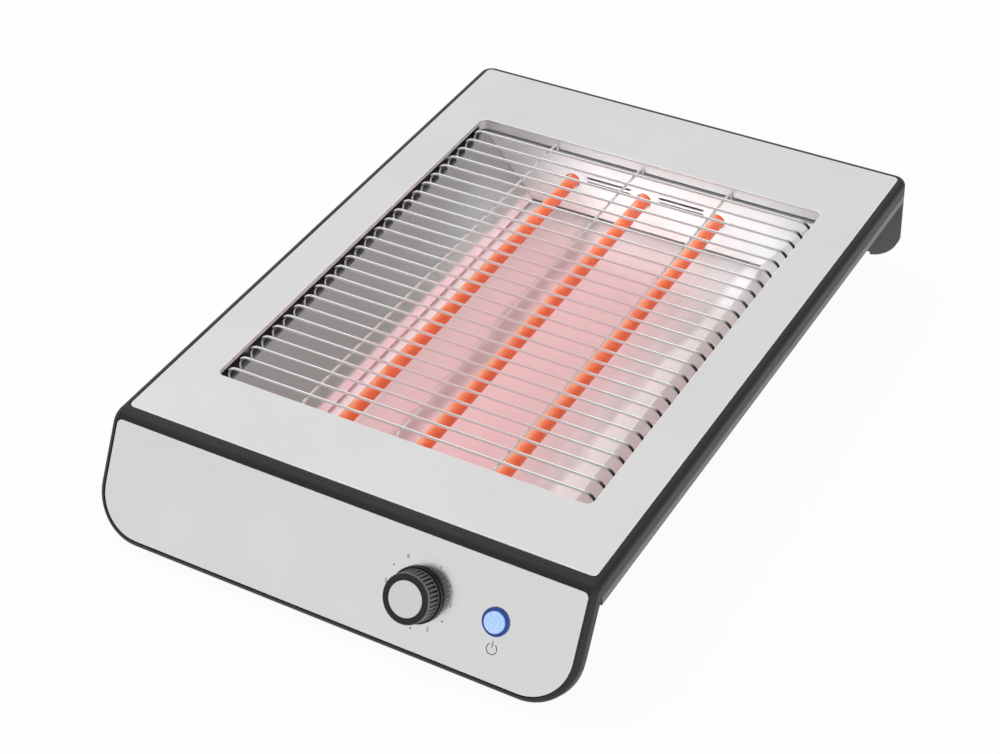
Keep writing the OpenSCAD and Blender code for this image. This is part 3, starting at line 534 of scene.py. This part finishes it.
def studio_floor():
    """Pale floor that looks nearly white and keeps the object's shadow."""
    mesh = bpy.data.meshes.new("floor")
    corners = [(x * FLOOR_HALF, y * FLOOR_HALF, 0) for x, y in ((-1, -1), (1, -1), (1, 1), (-1, 1))]
    mesh.from_pydata(corners, [], [(0, 1, 2, 3)])
    floor = bpy.data.objects.new("floor", mesh)
    SCENE.collection.objects.link(floor)
    material = bpy.data.materials.new("floor")
    material.use_nodes = True
    tree = material.node_tree
    shader = tree.nodes["Principled BSDF"]
    shader.inputs["Base Color"].default_value = (0.93, 0.93, 0.93, 1)
    shader.inputs["Roughness"].default_value = 0.9
    shader.inputs["Specular IOR Level"].default_value = 0.0
    white = add_node(tree, "ShaderNodeEmission").outputs["Emission"]
    path = add_node(tree, "ShaderNodeLightPath")
    seen = path.outputs["Is Camera Ray"]
    for ray in ("Is Glossy Ray", "Is Transmission Ray"):
        either = add_node(tree, "ShaderNodeMath", {0: seen, 1: path.outputs[ray]})
        either.operation = "MAXIMUM"
        seen = either.outputs["Value"]
    share = add_node(tree, "ShaderNodeMath", {0: seen})
    share.operation = "MULTIPLY"
    share.inputs[1].default_value = FLOOR_WHITE
    parts = {0: share.outputs["Value"], 1: shader.outputs["BSDF"], 2: white}
    mix = add_node(tree, "ShaderNodeMixShader", parts)
    tree.links.new(mix.outputs["Shader"], tree.nodes["Material Output"].inputs["Surface"])
    mesh.materials.append(material)


WORLD_LEVEL = 0.92

# Places of the sky that differ: direction, inner and outer angle in degrees, share of the level
PLACES = [
    ((-0.25, -0.45, 0.86), 22, 40, 0.30), ((0.75, 0.62, 0.22), 22, 45, 0.42),
    ((-0.41, 0.2, 0.89), 6, 13, 3.2), ((0.88, -0.46, 0.05), 9, 22, 4.0)]


def studio_world():
    """Even white light with two darker places and two brighter ones."""
    world = bpy.data.worlds.new("studio")
    SCENE.world = world
    world.use_nodes = True
    tree = world.node_tree
    way = add_node(tree, "ShaderNodeTexCoord").outputs["Generated"]
    shade = tree.nodes["Background"]
    shade.inputs["Color"].default_value = (1, 1, 1, 1)
    level = add_node(tree, "ShaderNodeValue").outputs["Value"]
    level.default_value = WORLD_LEVEL
    for middle, inner, outer, share in PLACES:
        near = add_node(tree, "ShaderNodeVectorMath", {0: way})
        near.operation = "DOT_PRODUCT"
        near.inputs[1].default_value = Vector(middle).normalized()
        limits = {
            "From Min": math.cos(math.radians(outer)), "From Max": math.cos(math.radians(inner)),
            "To Min": 1.0, "To Max": share}
        change = add_node(tree, "ShaderNodeMapRange", {"Value": near.outputs["Value"]}, **limits)
        change.interpolation_type = "SMOOTHSTEP"
        product = add_node(tree, "ShaderNodeMath", {0: level, 1: change.outputs["Result"]})
        product.operation = "MULTIPLY"
        level = product.outputs["Value"]
    tree.links.new(level, shade.inputs["Strength"])


def lamp(name, place, aim, size, power, color=(1, 1, 1), spread=180):
    """A flat lamp that isn't seen itself, neither directly nor in gloss."""
    light = bpy.data.lights.new(name, "AREA")
    light.shape = "RECTANGLE"
    light.size, light.size_y = size
    light.energy = power
    light.color = color
    light.spread = math.radians(spread)
    holder = bpy.data.objects.new(name, light)
    SCENE.collection.objects.link(holder)
    holder.location = place
    holder.rotation_euler = (Vector(aim) - Vector(place)).to_track_quat("-Z", "Y").to_euler()
    holder.visible_camera = False
    holder.visible_glossy = False


# Camera from the perspective fit to the photo's edges
LENS = 79.75
SENSOR = 36.0
CAMERA_PLACE = (0.48611, -0.79967, 0.77010)
CAMERA_RIGHT = Vector((0.86453, 0.50086, -0.04157))
CAMERA_UP = Vector((-0.28812, 0.56168, 0.77557))


def camera():
    """The camera that sees the object as the photo does."""
    data = bpy.data.cameras.new("camera")
    data.sensor_width = SENSOR
    data.lens = LENS
    eye = bpy.data.objects.new("camera", data)
    SCENE.collection.objects.link(eye)
    back = CAMERA_RIGHT.cross(CAMERA_UP)
    basis = Matrix((CAMERA_RIGHT, CAMERA_UP, back)).transposed().to_4x4()
    eye.matrix_world = Matrix.Translation(CAMERA_PLACE) @ basis
    SCENE.camera = eye


studio_floor()
studio_world()
lamp("key", (-1.0, 0.1, 1.3), (0, 0, 0), size=(1.2, 1.2), power=5)

low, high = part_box("quartz_tube_centre")
under_tubes = Vector((-7 * MM, (low.y + high.y) / 2, low.z - 1 * MM))
straight_down = under_tubes - Vector((0, 0, 1))
lamp("glow", under_tubes, straight_down, size=(0.118, 0.24), power=0.098, color=(1.0, 0.22, 0.28))

low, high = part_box("rear_end_reflector")
before_rear = Vector((20 * MM, low.y - 70 * MM, high.z))
on_rear = (30 * MM, low.y, (low.z + high.z) / 2)
lamp("glow_rear", before_rear, on_rear, size=(0.16, 0.02), power=0.034, color=(0.93, 1.0, 1.0), spread=80)

camera()
SCENE.view_settings.view_transform = "Standard"
